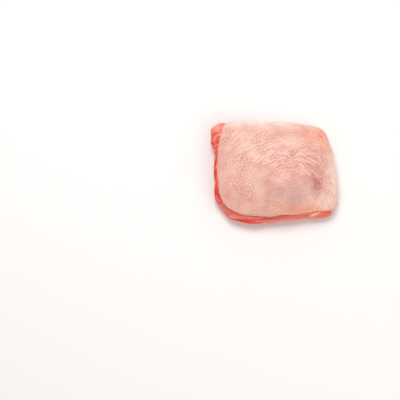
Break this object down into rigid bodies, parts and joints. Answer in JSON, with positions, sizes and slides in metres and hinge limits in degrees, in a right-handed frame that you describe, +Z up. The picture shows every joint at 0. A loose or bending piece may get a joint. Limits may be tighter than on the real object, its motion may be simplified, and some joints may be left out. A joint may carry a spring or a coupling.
{
  "type": "raw chicken thigh",
  "caption": "Raw chicken thigh with its skin on, lying skin side up; red meat and a little fat show along the cut edges.",
  "frame": {"origin": "under the middle of the whole thigh, on the surface it lies on", "axes": "+X to the right along its length, +Y towards its back edge, where the skin wraps down, +Z up through the skin side"},
  "size_m": [0.1146, 0.0938, 0.0342],
  "materials": {
    "skin": "moist pale pink chicken skin with follicle bumps and fine creases",
    "meat": "wet pinkish red raw meat with fine fibres and thin pale membrane",
    "fat": "soft pale yellow raw fat, slightly shiny"
  },
  "bodies": {
    "root": {"skin": "skin", "meat": "meat", "fat": "fat"}
  },
  "joints": []
}
